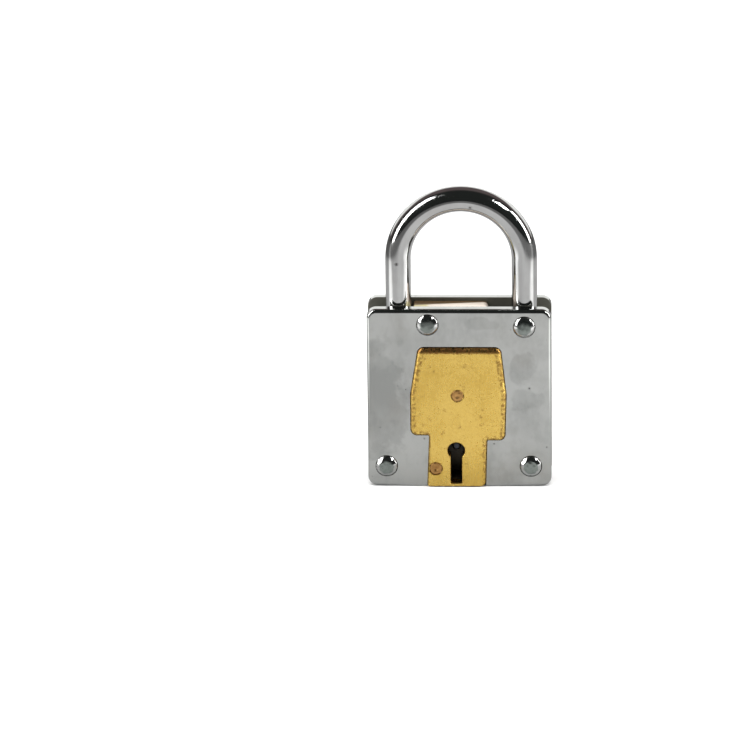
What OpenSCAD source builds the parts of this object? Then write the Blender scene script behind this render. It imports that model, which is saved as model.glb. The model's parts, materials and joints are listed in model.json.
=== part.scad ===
// Plate padlock with a hinged shackle and a three-lever lock.
// +X is right, -Y is the front, +Z is up. The origin is the middle of the base.

/* [Body plates] */
// Width of the front and rear plates
body_w = 50; // [49:0.5:52]
// Height of the front and rear plates
body_h = 51; // [50.5:0.5:53]
// Thickness of each plate
plate_t = 3; // [2.5:0.1:3.5]
// Gap between the two plates
plate_gap = 7.4; // [7.3:0.1:7.8]
// Radius of the plates' corners
corner_r = 2.6; // [2:0.1:3]
// Radius of the soft edge round each outer face
edge_r = 1; // [0.5:0.1:1.2]

/* [Shackle] */
// Diameter of the shackle rod
rod_d = 7; // [6.6:0.1:7]
// Distance between the two legs' centres
leg_pitch = 34.2; // [34:0.1:34.4]
// Middle of the two legs, measured from the body's middle
shackle_x = 0.6; // [0.4:0.1:0.8]
// Straight length of each leg above the body
leg_above = 12.4; // [8:0.2:30]
// How far the toe reaches into the body
toe_depth = 15; // [14.8:0.1:15.2]
// Depth of the notch that the bolt enters
notch_depth = 3; // [2.8:0.1:3.2]

/* [Rivets] */
// Diameter of the four plate rivets
rivet_d = 3.2; // [3:0.1:3.3]
// Diameter of their heads
head_d = 6.1; // [5:0.1:6.4]
// Height of their heads
head_h = 1.4; // [1:0.1:1.8]

/* [Lock] */
// How far the brass escutcheon stands in front of the plate
proud = 0.8; // [0.4:0.1:1.2]
// Keyhole's round part, diameter
keyhole_d = 4.8; // [4.4:0.1:5]
// Keyhole's slot, width
keyslot_w = 3.1; // [2.6:0.1:3.2]
// Travel of the bolt
throw = 3.6; // [3.4:0.1:3.6]
// Thickness of each lever
lever_t = 0.85; // [0.7:0.05:0.85]

/* [Hidden] */
$fn = 64;
eps = 0.5;  // how far a cutter runs past what it cuts

in_y = plate_gap / 2;        // inner faces of the plates
out_y = in_y + plate_t;      // outer faces of the plates
face_y = -(out_y + proud);   // front face of the escutcheon
rod_r = rod_d / 2;
hole_r = rivet_d / 2 + 0.05;

// Rivet places, as [x, z]
top_left = [-8.5, body_h - 4.3];
pivot = [shackle_x + leg_pitch / 2, body_h - 4.9];
bottom_left = [-19.9, 5.9];
bottom_right = [19.4, 5.9];
toe_x = shackle_x - leg_pitch / 2;
toe_z = body_h - toe_depth;
heel_z = pivot[1] - 4.5;
notch = [toe_z + 4.6, toe_z + 8.4];  // lower and upper face of the toe's notch

// Lock places, as [x, z]
key = [-0.9, 10.6];
post = [-0.5, 26.5];
lever_pivot = [10.2, 27];
stump = [-7, 24];
stump_r = 0.8;
post_r = 1.7;
bit_r = 8.8;  // longest key bit

// Lock case, front to back: front sheet, hollow, back wall
sheet_t = 1;
back_t = 1.2;
hollow_front = -in_y + sheet_t;
hollow_back = in_y - back_t;
wall = 1.4;
toe_gap = 0.3;  // between the toe's end and the lug below it
case_left = toe_x + rod_r + 0.6;
case_right = 14.8;
case_top = body_h - 1;
lug_left = -20;
lug_top = toe_z - toe_gap;
bolt_t = 2;
bolt_front = hollow_back - 0.1 - bolt_t;
lever_step = lever_t + 0.1;
lever_names = ["lever_rear", "lever_middle", "lever_front"];
bit_steps = [8.2, 7.6, 8.5];  // key bit's radius under each lever

strip_t = 1.2;
strip_inset = 0.8;

// Points of an arc of radius r round c, from angle a to angle b
function arc(c, r, a, b, n = 8) = [for (i = [0:n]) c + r * [cos(a + (b - a) * i / n), sin(a + (b - a) * i / n)]];

// An outline whose corner i is rounded with radius r[i]: each corner is cut where the
// circle touches its two sides, and a quadratic curve joins the two cuts.
function unit(v) = v / norm(v);
function corner(p, a, b, r) =
  let (u = unit(a - p), w = unit(b - p), half = acos(u * w) / 2, cut = r / tan(half), s = p + cut * u, e = p + cut * w)
  r == 0 ? [p] : [for (i = [0:6]) let (t = i / 6) (1 - t) * (1 - t) * s + 2 * t * (1 - t) * p + t * t * e];
function rounded(p, r) =
  let (n = len(p)) [for (i = [0:n - 1]) each corner(p[i], p[(i + n - 1) % n], p[(i + 1) % n], r[i])];

// Extrudes a shape drawn in X and Z from y0 back to y1
module slab(y0, y1) translate([0, y1, 0]) rotate([90, 0, 0]) linear_extrude(y1 - y0) children();

// A round bar or drill along Y at [x, z]
module bar(at, r, y0, y1) translate([at[0], y1, at[1]]) rotate([90, 0, 0]) cylinder(r = r, h = y1 - y0);

// The window in the front plate, open at the bottom; shrink makes it smaller all round
module window_shape(shrink, bottom) {
  s = shrink;
  polygon(rounded([
    [-11.1 + s, 40.3 - s], [-13.3 + s, 26.3], [-13.3 + s, 14.9 + s], [-8.2 + s, 14.9 + s], [-8.8 + s, bottom],
    [7.1 - s, bottom], [7.5 - s, 13.5 + s], [12.4 - s, 13.5 + s], [12.8 - s, 26.9], [11.3 - s, 40.3 - s]],
    [1.8, 5, 1.8, 0.5, 0, bottom > 0 ? 1.2 : 0, 0.5, 1.6, 5, 1.8]));
}

module keyhole_shape(d, slot_w) {
  translate(key) circle(d = d);
  translate([key[0] - slot_w / 2, 1.1]) square([slot_w, key[1] - 1.1]);
}

// A rectangle standing on z = 0 with four round corners
module plate_shape(w, h, r) {
  translate([-w / 2, r]) square([w, h - 2 * r]);
  translate([-w / 2 + r, 0]) square([w - 2 * r, h]);
  for (x = [-w / 2 + r, w / 2 - r], z = [r, h - r]) translate([x, z]) circle(r);
}

// What the soft edge takes off along a side, with the edge's centre at the origin
module edge_waste() difference() {
  square(edge_r + eps);
  circle(edge_r);
}

// The waste round a whole rectangle with round corners, centred, its outer face up
module rim_waste(w, h, r) {
  for (right = [0, 1]) mirror([1 - right, 0, 0]) {
    translate([w / 2 - edge_r, h / 2 - r, 0]) rotate([90, 0, 0]) linear_extrude(h - 2 * r) edge_waste();
    for (up = [0, 1]) mirror([0, 1 - up, 0])
      translate([w / 2 - r, h / 2 - r, 0]) rotate_extrude(angle = 90) translate([r - edge_r, 0]) edge_waste();
  }
  for (up = [0, 1]) mirror([0, 1 - up, 0])
    translate([r - w / 2, h / 2 - edge_r, 0]) rotate([90, 0, 90]) linear_extrude(w - 2 * r) edge_waste();
}

// A plate whose inner face lies at in_y and whose outer face has a soft edge all round
module plate_blank() difference() {
  slab(in_y, out_y) plate_shape(body_w, body_h, corner_r);
  translate([0, out_y - edge_r, body_h / 2]) rotate([-90, 0, 0]) rim_waste(body_w, body_h, corner_r);
  for (at = [top_left, pivot, bottom_left, bottom_right]) bar(at, hole_r, in_y - eps, out_y + eps);
}

module front_plate() color([0.72, 0.73, 0.73]) difference() {
  mirror([0, 1, 0]) plate_blank();
  slab(-out_y - eps, -in_y + eps) window_shape(0, -1);
}

module rear_plate() color([0.72, 0.73, 0.73]) plate_blank();

// One bent steel strip: down a side, round the lower corner and in to the lock case
module side_strip(top, end_x) {
  outer_x = body_w / 2 - strip_inset;
  outer_r = corner_r - strip_inset;
  slab(-in_y, in_y) difference() {
    intersection() {
      translate([0, strip_inset]) plate_shape(2 * outer_x, body_h, outer_r);
      translate([end_x, 0]) square([body_w, top]);
    }
    translate([0, strip_inset + strip_t]) plate_shape(2 * (outer_x - strip_t), body_h, outer_r - strip_t + 0.2);
  }
}

module side_strip_left() color([0.66, 0.66, 0.67]) mirror([1, 0, 0]) side_strip(body_h - 4, 15.7);
module side_strip_right() color([0.66, 0.66, 0.67]) side_strip(heel_z + 0.2, case_right + 0.2);

module spacer_tube(at) difference() {
  bar(at, 2.6, -in_y, in_y);
  bar(at, hole_r, -in_y - eps, in_y + eps);
}
module spacer_tube_left() color([0.6, 0.6, 0.6]) spacer_tube(bottom_left);
module spacer_tube_right() color([0.6, 0.6, 0.6]) spacer_tube(bottom_right);

// A rivet through both plates, with a bevelled flat head at each end
module rivet(at) {
  rim = 0.35;
  top_r = head_d * 0.31;
  translate([at[0], 0, at[1]]) rotate([90, 0, 0]) rotate_extrude() polygon([
    [0, -out_y - head_h], [top_r, -out_y - head_h], [head_d / 2, -out_y - rim], [head_d / 2, -out_y],
    [rivet_d / 2, -out_y], [rivet_d / 2, out_y], [head_d / 2, out_y], [head_d / 2, out_y + rim],
    [top_r, out_y + head_h], [0, out_y + head_h]]);
}
module rivet_top_left() color([0.75, 0.75, 0.75]) rivet(top_left);
module rivet_shackle_pivot() color([0.75, 0.75, 0.75]) rivet(pivot);
module rivet_bottom_left() color([0.75, 0.75, 0.75]) rivet(bottom_left);
module rivet_bottom_right() color([0.75, 0.75, 0.75]) rivet(bottom_right);

// The thick brass plate that fills the window and carries the keyhole
module escutcheon() color([0.83, 0.67, 0.32]) difference() {
  slab(face_y, -in_y) difference() {
    window_shape(0.1, 0.2);
    keyhole_shape(keyhole_d, keyslot_w);
  }
  bar(post, post_r, face_y - eps, 0);
  bar(escutcheon_rivet_at, escutcheon_rivet_r, face_y - eps, 0);
}

escutcheon_rivet_at = [-6.5, 5.4];
escutcheon_rivet_r = 1.85;
rivet_proud = 0.1;  // how far the brass rivets stand in front of the escutcheon
module escutcheon_rivet() color([0.72, 0.5, 0.28])
  bar(escutcheon_rivet_at, escutcheon_rivet_r, face_y - rivet_proud, hollow_front);

module centre_post() color([0.72, 0.5, 0.28]) bar(post, post_r, face_y - rivet_proud, in_y);

// The lock case's outline, with the lug under the shackle's toe and the block at the top
module case_shape() {
  shoulder = body_h - 5.5;
  block_right = 7.8;
  polygon(rounded([
    [-15.5, 0.15], [case_right, 0.15], [case_right, shoulder - case_right + block_right], [block_right, shoulder],
    [block_right, case_top], [case_left, case_top], [case_left, lug_top], [lug_left, lug_top],
    [lug_left, lug_top - 4.2], [-15.5, lug_top - 7.2]],
    [1, 1, 1, 1, 1.6, 0.4, 0.3, 0.4, 0.4, 1]));
}

hollow_bottom = 1.05;
hollow_top = notch[1];
nose = [notch[0] + 0.4, notch[1] - 0.4];  // lower and upper face of the bolt's nose

module hollow_shape() {
  right = case_right - wall;
  left = case_left + wall;
  low_left = -15.5 + wall;
  slant = body_h - 5.5 + 7.8 - 1.9;  // x + z along the inside of the slanting wall
  polygon([
    [low_left, hollow_bottom], [right, hollow_bottom], [right, slant - right], [slant - hollow_top, hollow_top],
    [left, hollow_top], [left, lug_top - 0.7], [low_left, lug_top - 3.8]]);
}

module case_front() color([0.8, 0.64, 0.34]) difference() {
  slab(-in_y, hollow_front) difference() {
    case_shape();
    keyhole_shape(keyhole_d + 0.6, keyslot_w + 0.3);
  }
  bar(top_left, hole_r, -out_y, 0);
  bar(post, post_r, -out_y, 0);
  bar(escutcheon_rivet_at, escutcheon_rivet_r, -out_y, 0);
  bar(lever_pivot, lever_post_r, -out_y, 0);
}

module case_body() color([0.8, 0.64, 0.34]) difference() {
  slab(hollow_front, in_y) case_shape();
  slab(hollow_front - eps, hollow_back) hollow_shape();
  translate([case_left - eps, bolt_front - 2.75, nose[0] - 0.15])
    cube([wall + 2 * eps, hollow_back - bolt_front + 2.75, nose[1] - nose[0] + 0.3]);
  bar(top_left, hole_r, -out_y, out_y);
  bar(post, post_r, 0, out_y);
  bar(key, drill_pin_r, 0, out_y);
  bar(lever_pivot, lever_post_r, 0, out_y);
}

drill_pin_r = 1.25;
module drill_pin() color([0.6, 0.6, 0.62]) {
  tip = 0.5;
  bar(key, drill_pin_r, -in_y + 0.1 + tip, in_y);
  translate([key[0], -in_y + 0.1 + tip, key[1]]) rotate([90, 0, 0])
    cylinder(r1 = drill_pin_r, r2 = drill_pin_r - tip, h = tip);
}

lever_post_r = 1.3;
module lever_post() color([0.6, 0.6, 0.62]) bar(lever_pivot, lever_post_r, -in_y, in_y);

// A shackle leg from z0 up to z1, with a bevel at its lower end
module leg(x, z0, z1) {
  bevel = 1.3;
  translate([x, 0, z0]) cylinder(r1 = rod_r - bevel, r2 = rod_r, h = bevel);
  translate([x, 0, z0 + bevel]) cylinder(r = rod_r, h = z1 - z0 - bevel);
}

module shackle() color([0.78, 0.78, 0.79]) {
  arch_z = body_h + leg_above;
  difference() {
    union() {
      leg(toe_x, toe_z, arch_z);
      leg(pivot[0], heel_z, arch_z);
      translate([shackle_x, 0, arch_z]) rotate([90, 0, 0])
        rotate_extrude(angle = 180) translate([leg_pitch / 2, 0]) circle(rod_r);
    }
    translate([toe_x + rod_r - notch_depth, -rod_d, notch[0]]) cube([notch_depth + eps, 2 * rod_d, notch[1] - notch[0]]);
    bar(pivot, rivet_d / 2 + 0.07, -rod_d, rod_d);
  }
}

// The sliding bolt, drawn back: a nose at the top left, a slot round the centre post,
// and a notch in the lower edge where the key's bit pushes it
module bolt() color([0.68, 0.66, 0.6]) {
  tip_x = case_left + 0.3;
  low = key[1] + bit_r - 0.8;
  gap = 6.4;  // width of the notch for the key's bit
  gap_x = key[0] + throw / 2;
  difference() {
    union() {
      slab(bolt_front, bolt_front + bolt_t) polygon([
        [tip_x, nose[0]], [-3.5, nose[0]], [-3.5, 31], [-9.5, 31], [-9.5, low], [gap_x - gap / 2, low],
        [gap_x - gap / 2, low + 1.2], [gap_x + gap / 2, low + 1.2], [gap_x + gap / 2, low], [7.5, low],
        [7.5, 31], [5.5, 31], [5.5, nose[1]], [tip_x, nose[1]]]);
      translate([tip_x, bolt_front - 2.6, nose[0]]) cube([5.6, 2.6, nose[1] - nose[0]]);
    }
    for (x = [post[0], post[0] + throw]) bar([x, post[1]], post_r + 0.1, 0, in_y);
    translate([post[0], 0, post[1] - post_r - 0.1]) cube([throw, in_y, 2 * post_r + 0.2]);
    bar(stump, stump_r, 0, in_y);
  }
}

module bolt_stump() color([0.6, 0.6, 0.62])
  bar(stump, stump_r, bolt_front - 3 * lever_step, bolt_front + bolt_t);

// Lever i, lifted so that its gate stands level with the stump
module lever(i) {
  back = bolt_front - 0.1 - i * lever_step;
  belly = key[1] + bit_steps[i];
  gate_h = 2 * stump_r + 0.3;
  slab(back - lever_t, back) difference() {
    union() {
      polygon([
        [lever_pivot[0], 29.9], [7, 31.6], [-9, 31.6], [-13, 29.6], [-13, 20.4], [-6.4, 20.4],
        each arc([key[0], belly + 5.2], 5.2, 215, 325),
        [5.4, 21.2], [lever_pivot[0], 24.1]]);
      translate(lever_pivot) circle(2.9);
    }
    translate(lever_pivot) circle(lever_post_r + 0.06);
    translate([post[0] - 2, post[1] - 0.7]) square([4, 1.8]);
    for (z = [-0.7, 1.1]) translate(post + [0, z]) circle(2);
    translate(stump + [-1, -2.1]) square([2.3, 4.8]);
    translate(stump + [-throw - 1.2, -2.3]) square([2.3, 5.2]);
    translate(stump + [-throw, -gate_h / 2]) square([throw, gate_h]);
  }
}

module lever_rear() color([0.84, 0.7, 0.4]) lever(0);
module lever_middle() color([0.84, 0.7, 0.4]) lever(1);
module lever_front() color([0.84, 0.7, 0.4]) lever(2);

// A thin bent leaf that stands on lever i and presses on the slanting wall of the case
module lever_spring(i) {
  back = bolt_front - 0.1 - i * lever_step - 0.1;
  t = 0.25;
  c = [15.5, 31.6];
  slab(back - lever_t + 0.2, back)
    polygon(concat(arc(c, 11.2, 180, 120, 12), arc(c, 11.2 - t, 120, 180, 12)));
}
module lever_spring_rear() color([0.7, 0.7, 0.72]) lever_spring(0);
module lever_spring_middle() color([0.7, 0.7, 0.72]) lever_spring(1);
module lever_spring_front() color([0.7, 0.7, 0.72]) lever_spring(2);

front_plate();
rear_plate();
side_strip_left();
side_strip_right();
spacer_tube_left();
spacer_tube_right();
rivet_top_left();
rivet_shackle_pivot();
rivet_bottom_left();
rivet_bottom_right();
escutcheon();
escutcheon_rivet();
centre_post();
case_front();
case_body();
drill_pin();
lever_post();
shackle();
bolt();
bolt_stump();
lever_rear();
lever_middle();
lever_front();
lever_spring_rear();
lever_spring_middle();
lever_spring_front();
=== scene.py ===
"""Looks of a small plate padlock: chromed plates, rivets and shackle round a brass lever lock."""

from __future__ import annotations

import json
import logging
import math
from dataclasses import dataclass, field
from enum import Enum
import bmesh
import bpy
import numpy as np
from mathutils import Euler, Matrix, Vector
from mathutils.geometry import tessellate_polygon

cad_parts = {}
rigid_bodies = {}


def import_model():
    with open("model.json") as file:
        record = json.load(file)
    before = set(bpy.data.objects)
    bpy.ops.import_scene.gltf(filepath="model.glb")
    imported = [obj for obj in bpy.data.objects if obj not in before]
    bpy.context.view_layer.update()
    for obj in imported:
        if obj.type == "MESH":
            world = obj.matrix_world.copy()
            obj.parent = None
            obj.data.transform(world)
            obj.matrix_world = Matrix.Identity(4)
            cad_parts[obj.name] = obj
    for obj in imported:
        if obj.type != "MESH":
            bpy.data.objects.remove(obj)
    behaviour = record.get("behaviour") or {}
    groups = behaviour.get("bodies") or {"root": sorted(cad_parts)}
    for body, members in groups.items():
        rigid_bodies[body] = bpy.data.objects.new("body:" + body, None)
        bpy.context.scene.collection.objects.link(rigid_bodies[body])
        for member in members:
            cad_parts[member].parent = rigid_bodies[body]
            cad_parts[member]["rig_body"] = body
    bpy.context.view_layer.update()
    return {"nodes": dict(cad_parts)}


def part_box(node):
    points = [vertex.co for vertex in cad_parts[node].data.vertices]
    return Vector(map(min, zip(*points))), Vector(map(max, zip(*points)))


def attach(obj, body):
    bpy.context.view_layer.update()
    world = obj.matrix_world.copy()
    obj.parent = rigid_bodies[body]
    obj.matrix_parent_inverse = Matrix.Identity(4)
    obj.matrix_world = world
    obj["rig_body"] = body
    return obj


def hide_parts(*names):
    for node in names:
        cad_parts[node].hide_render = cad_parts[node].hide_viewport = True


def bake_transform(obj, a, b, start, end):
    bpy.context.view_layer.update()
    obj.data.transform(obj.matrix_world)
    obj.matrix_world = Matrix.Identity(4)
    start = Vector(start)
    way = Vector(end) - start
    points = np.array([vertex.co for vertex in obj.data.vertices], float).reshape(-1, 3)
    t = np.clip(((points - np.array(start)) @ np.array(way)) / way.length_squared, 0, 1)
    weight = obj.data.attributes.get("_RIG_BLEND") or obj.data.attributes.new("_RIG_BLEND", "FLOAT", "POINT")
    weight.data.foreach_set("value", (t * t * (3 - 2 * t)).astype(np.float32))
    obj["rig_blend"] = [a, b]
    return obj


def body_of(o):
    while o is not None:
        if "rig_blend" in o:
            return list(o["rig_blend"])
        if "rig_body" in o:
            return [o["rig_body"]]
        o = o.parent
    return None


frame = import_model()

MM = 0.001  # metres in a millimetre
HOLD = 0.05  # how far a holding point stands from the end of a curve, in millimetres
WELD = 1e-5  # points nearer to each other than this are one point, in millimetres
SHELL_CREASE = math.radians(38)  # sharper edges stay sharp on the shells
COPY_CREASE = math.radians(32)  # sharper edges stay sharp and are bevelled on the softened copies
RIVETS = ("rivet_top_left", "rivet_shackle_pivot", "rivet_bottom_left", "rivet_bottom_right")
LOG = logging.getLogger("padlock")
Array = np.ndarray
Colour = tuple[float, float, float]
Place = tuple[float, float, float]
Piece = bpy.types.Object
Socket = bpy.types.NodeSocket


# ---------------------------------------------------------------- outlines and surfaces, in millimetres


def box_mm(node: str) -> tuple[Array, Array]:
    """Lowest and highest corner of a CAD node, in millimetres.

    Args:
        node: name of the CAD node.

    Returns:
        The two corners as arrays of three.
    """
    low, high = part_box(node)
    return np.array(low) / MM, np.array(high) / MM


def centre_mm(node: str) -> Array:
    """Middle of a CAD node's box, in millimetres."""
    low, high = box_mm(node)
    return (low + high) / 2


def rounded_outline(corners: list[tuple[float, float]], radii: list[float], steps: int = 10) -> Array:
    """Closed outline with its corners rounded by true arcs.

    An arc of radius r touches both sides of its corner. Its centre lies r / sin(h) from the corner along
    the bisector, where h is half the corner's angle. A holding point stands just outside each end of an
    arc, so that the straight sides shade flat.

    Args:
        corners: the sharp corners, in order round the outline.
        radii: the radius at each corner, all above zero.
        steps: number of pieces in each arc.

    Returns:
        Points of the outline, anticlockwise, shape (n, 2).
    """
    points = np.array(corners, float)
    pieces = []
    for corner, before, after, radius in zip(points, np.roll(points, 1, 0), np.roll(points, -1, 0), radii):
        u = (before - corner) / np.linalg.norm(before - corner)
        w = (after - corner) / np.linalg.norm(after - corner)
        half = math.acos(float(np.clip(u @ w, -1, 1))) / 2
        cut = radius / math.tan(half)
        centre = corner + (u + w) / np.linalg.norm(u + w) * radius / math.sin(half)
        first = corner + cut * u - centre
        last = corner + cut * w - centre
        start = math.atan2(first[1], first[0])
        sweep = (math.atan2(last[1], last[0]) - start + math.pi) % (2 * math.pi) - math.pi
        angles = start + sweep * np.linspace(0, 1, steps + 1)
        arc = centre + radius * np.stack([np.cos(angles), np.sin(angles)], 1)
        pieces += [[corner + (cut + HOLD) * u], arc, [corner + (cut + HOLD) * w]]
    outline = np.concatenate(pieces)
    x, z = outline.T
    area = np.sum(x * np.roll(z, -1) - z * np.roll(x, -1))
    return outline if area > 0 else outline[::-1]


def circle(centre: tuple[float, float], radius: float, steps: int = 64) -> Array:
    """Points of a circle: centre plus radius times the cosine and sine of each angle."""
    angles = np.linspace(0, 2 * math.pi, steps, endpoint=False)
    return np.array(centre) + radius * np.stack([np.cos(angles), np.sin(angles)], 1)


def outward(loop: Array) -> Array:
    """Unit normals of an anticlockwise loop: the chord between a point's neighbours, turned clockwise."""
    chord = np.roll(loop, -1, 0) - np.roll(loop, 1, 0)
    normal = np.stack([chord[:, 1], -chord[:, 0]], 1)
    return normal / np.linalg.norm(normal, axis=1, keepdims=True)


def edge_of(depth: float, wall: float, drop: Array, reach: Array, steps: int = 10) -> tuple[Array, Array]:
    """Section of a rounded edge, from a flat wall over a quarter ellipse to a flat face.

    At angle a the section lies reach (1 - cos a) in from the wall and drop (1 - sin a) short of the face.

    Args:
        depth: where the face lies.
        wall: +1 or -1, the way the face looks.
        drop: the edge's size along the wall at each point of the outline.
        reach: its size along the face at each point of the outline.
        steps: number of pieces in the quarter ellipse.

    Returns:
        Insets and depths, each of shape (steps + 3, points).
    """
    angle = np.linspace(0, math.pi / 2, steps + 1)[:, None]
    inset = reach * (1 - np.cos(angle))
    level = depth - wall * drop * (1 - np.sin(angle))
    inset = np.vstack([np.zeros_like(reach), inset, inset[-1] + HOLD])
    level = np.vstack([level[0] - wall * HOLD, level, level[-1]])
    return inset, level


def smooth_min(values: Array, softness: float) -> Array:
    """Least of the values along the first axis, with its creases rounded: -s log(sum(exp(-v / s)))."""
    low = values.min(0)
    return low - softness * np.log(np.exp(-(values - low) / softness).sum(0))


def add(name: str, data: bpy.types.ID) -> Piece:
    """A new object of this name with this mesh, lamp or camera, put in the scene."""
    made = bpy.data.objects.new(name, data)
    bpy.context.scene.collection.objects.link(made)
    return made


class Shell:
    """A closed surface gathered from patches that share their border points."""

    def __init__(self) -> None:
        """Start with no points."""
        self.points: list[Array] = []
        self.rim: list[Array] = []
        self.faces: list[Array] = []
        self.count = 0

    def _store(self, points: Array, faces: Array, rim: Array | float) -> None:
        """Keep a patch's points, its faces and how far each point lies from the piece's rim."""
        self.points.append(points)
        self.rim.append(np.broadcast_to(np.asarray(rim, float), len(points)))
        self.faces.append(faces + self.count)
        self.count += len(points)

    def band(self, rings: Array, rim: Array | float = 0.0) -> None:
        """Add rings that are joined to each other and closed round.

        Args:
            rings: points of shape (rings, points in a ring, 3).
            rim: distance from the rim, one number or of shape (rings, points in a ring).
        """
        rows, columns = rings.shape[:2]
        index = np.arange(rows * columns).reshape(rows, columns)
        turned = np.roll(index, -1, 1)
        quads = np.stack([index[:-1], turned[:-1], turned[1:], index[1:]], -1).reshape(-1, 4)
        rim_points = np.broadcast_to(np.asarray(rim, float), (rows, columns)).reshape(-1)
        self._store(rings.reshape(-1, 3), quads, rim_points)

    def cap(self, loops: list[Array], rim: float = 0.0) -> None:
        """Fill the flat area inside the first loop and outside the others.

        Args:
            loops: closed loops of points, each of shape (n, 3).
            rim: distance of the area from the rim.
        """
        corners = np.array(tessellate_polygon([[Vector(p) for p in loop] for loop in loops]))
        faces = np.concatenate([corners, corners[:, :1]], 1)
        self._store(np.concatenate(loops), faces, rim)

    def mesh(self, name: str) -> bpy.types.Mesh:
        """Weld the patches and turn the faces outwards.

        Args:
            name: the new mesh's name.

        Returns:
            The mesh, with each point's distance from the rim as an attribute.
        """
        points, rim, faces = (np.concatenate(part) for part in (self.points, self.rim, self.faces))
        grid = np.round(points / WELD).astype(np.int64)
        _, first, same = np.unique(grid, axis=0, return_index=True, return_inverse=True)
        faces = same.reshape(-1)[faces]
        doubled = faces == np.roll(faces, -1, 1)
        quads = faces[~doubled.any(1)]
        thin = faces[doubled.sum(1) == 1]
        triangles = thin[~doubled[doubled.sum(1) == 1]].reshape(-1, 3)
        mesh = bpy.data.meshes.new(name)
        mesh.from_pydata((points[first] * MM).tolist(), [], quads.tolist() + triangles.tolist())
        layer = mesh.attributes.new("rim", "FLOAT", "POINT")
        layer.data.foreach_set("value", rim[first].astype(np.float32))
        work = bmesh.new()
        work.from_mesh(mesh)
        bmesh.ops.recalc_face_normals(work, faces=work.faces)
        work.to_mesh(mesh)
        work.free()
        mesh.polygons.foreach_set("use_smooth", np.ones(len(mesh.polygons), bool))
        mesh.set_sharp_from_angle(angle=SHELL_CREASE)
        return mesh

    def build(self, name: str, body: str, node: str) -> Piece:
        """Make the surface into an object.

        Args:
            name: the new object's name.
            body: the body that it moves with.
            node: the CAD node that it replaces.

        Returns:
            The new object.
        """
        piece = add(name, self.mesh(name))
        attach(piece, body)
        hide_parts(node)
        LOG.info("%s: %d faces on %s", name, len(piece.data.polygons), body)
        return piece


def lift(loop: Array, inset: Array, depth: Array) -> Array:
    """Rings in space: the loop moved in by each inset along its normals, standing at each depth along Y."""
    flat = loop - inset[..., None] * outward(loop)
    return np.stack([flat[..., 0], np.broadcast_to(depth, inset.shape), flat[..., 1]], -1)


@dataclass
class Slab:
    """A flat plate with rounded edges and holes, standing in the XZ plane.

    Attributes:
        outline: anticlockwise outline.
        back: depth of the back face along Y.
        front: depth of the front face along Y.
        edge: size of the front edge along the wall, one number or one for each point of the outline.
        reach: its size along the face, or None where the edge is round.
        back_edge: radius of the back edge.
        holes: for each hole an anticlockwise loop, the radius of its front edge and the room round it.
        margins: distances from the rim at which the front face gets extra rings.
        room: factor on the margins at each point of the outline, or None for 1.
    """

    outline: Array
    back: float
    front: float
    edge: float | Array
    reach: Array | None = None
    back_edge: float = 0.12
    holes: list[tuple[Array, float, float]] = field(default_factory=list)
    margins: tuple[float, ...] = ()
    room: Array | None = None

    def _wall(
        self, shell: Shell, loop: Array, edge: Array, reach: Array, room: Array, side: int
    ) -> tuple[Array, Array]:
        """Add one closed wall with its two edges.

        Args:
            shell: the surface to add to.
            loop: the wall's loop.
            edge: size of the front edge along the wall at each point.
            reach: its size along the face at each point.
            room: factor on the margins at each point.
            side: +1 where the material lies inside the loop, -1 round a hole.

        Returns:
            The border loops on the back face and on the front face.
        """
        way = 1 if self.front > self.back else -1
        inset, depth = edge_of(self.front, way, edge, reach)
        back_edge = np.full(len(loop), self.back_edge)
        back_inset, back_depth = edge_of(self.back, -way, back_edge, back_edge, 3)
        margin = np.array(self.margins)[:, None]
        inset = np.concatenate([back_inset[::-1], inset, inset[-1] + margin * room])
        depth = np.concatenate([back_depth[::-1], depth, np.full((len(margin), len(loop)), self.front)])
        rim = np.zeros_like(inset)
        if self.margins:
            rim[-len(self.margins):] = margin
        rings = lift(loop, side * inset, depth)
        shell.band(rings, rim)
        return rings[0], rings[-1]

    def shell(self) -> Shell:
        """Walls from the outline and each hole, closed by a flat face at the back and at the front."""
        shell = Shell()
        edge = np.broadcast_to(np.asarray(self.edge, float), len(self.outline))
        reach = edge if self.reach is None else self.reach
        room = np.ones(len(self.outline)) if self.room is None else self.room
        borders = [self._wall(shell, self.outline, edge, reach, room, 1)]
        for loop, radius, gap in self.holes:
            small = np.full(len(loop), radius)
            borders.append(self._wall(shell, loop, small, small, np.full(len(loop), gap), -1))
        shell.cap([border[0] for border in borders])
        shell.cap([border[1] for border in borders], max(self.margins, default=0.0))
        return shell

    def build(self, name: str, node: str, slot: str) -> Piece:
        """The plate as a dressed piece of the lock's body, in place of a CAD node."""
        return dress(self.shell().build(name, "lock_body", node), slot)


def soften(node: str, width: float) -> Piece:
    """Copy a CAD node, merge its loose triangles and give its edges a small bevel.

    Args:
        node: the CAD node, which the copy replaces.
        width: the bevel's width in millimetres.

    Returns:
        The copy.
    """
    source = frame["nodes"][node]
    work = bmesh.new()
    work.from_mesh(source.data)
    bmesh.ops.remove_doubles(work, verts=work.verts, dist=1e-7)
    bmesh.ops.dissolve_limit(work, angle_limit=math.radians(1), verts=work.verts, edges=work.edges)
    mesh = bpy.data.meshes.new(f"{node}_soft")
    work.to_mesh(mesh)
    work.free()
    mesh.polygons.foreach_set("use_smooth", np.ones(len(mesh.polygons), bool))
    mesh.set_sharp_from_angle(angle=COPY_CREASE)
    piece = add(f"{node}_soft", mesh)
    bevel = piece.modifiers.new("Bevel", "BEVEL")
    bevel.width = width * MM
    bevel.segments = 2
    bevel.limit_method = "ANGLE"
    bevel.angle_limit = COPY_CREASE
    bevel.harden_normals = True
    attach(piece, body_of(source)[0])
    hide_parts(node)
    LOG.info("%s: softened copy of the frame's node", node)
    return piece


# ---------------------------------------------------------------- shader building blocks


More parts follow.
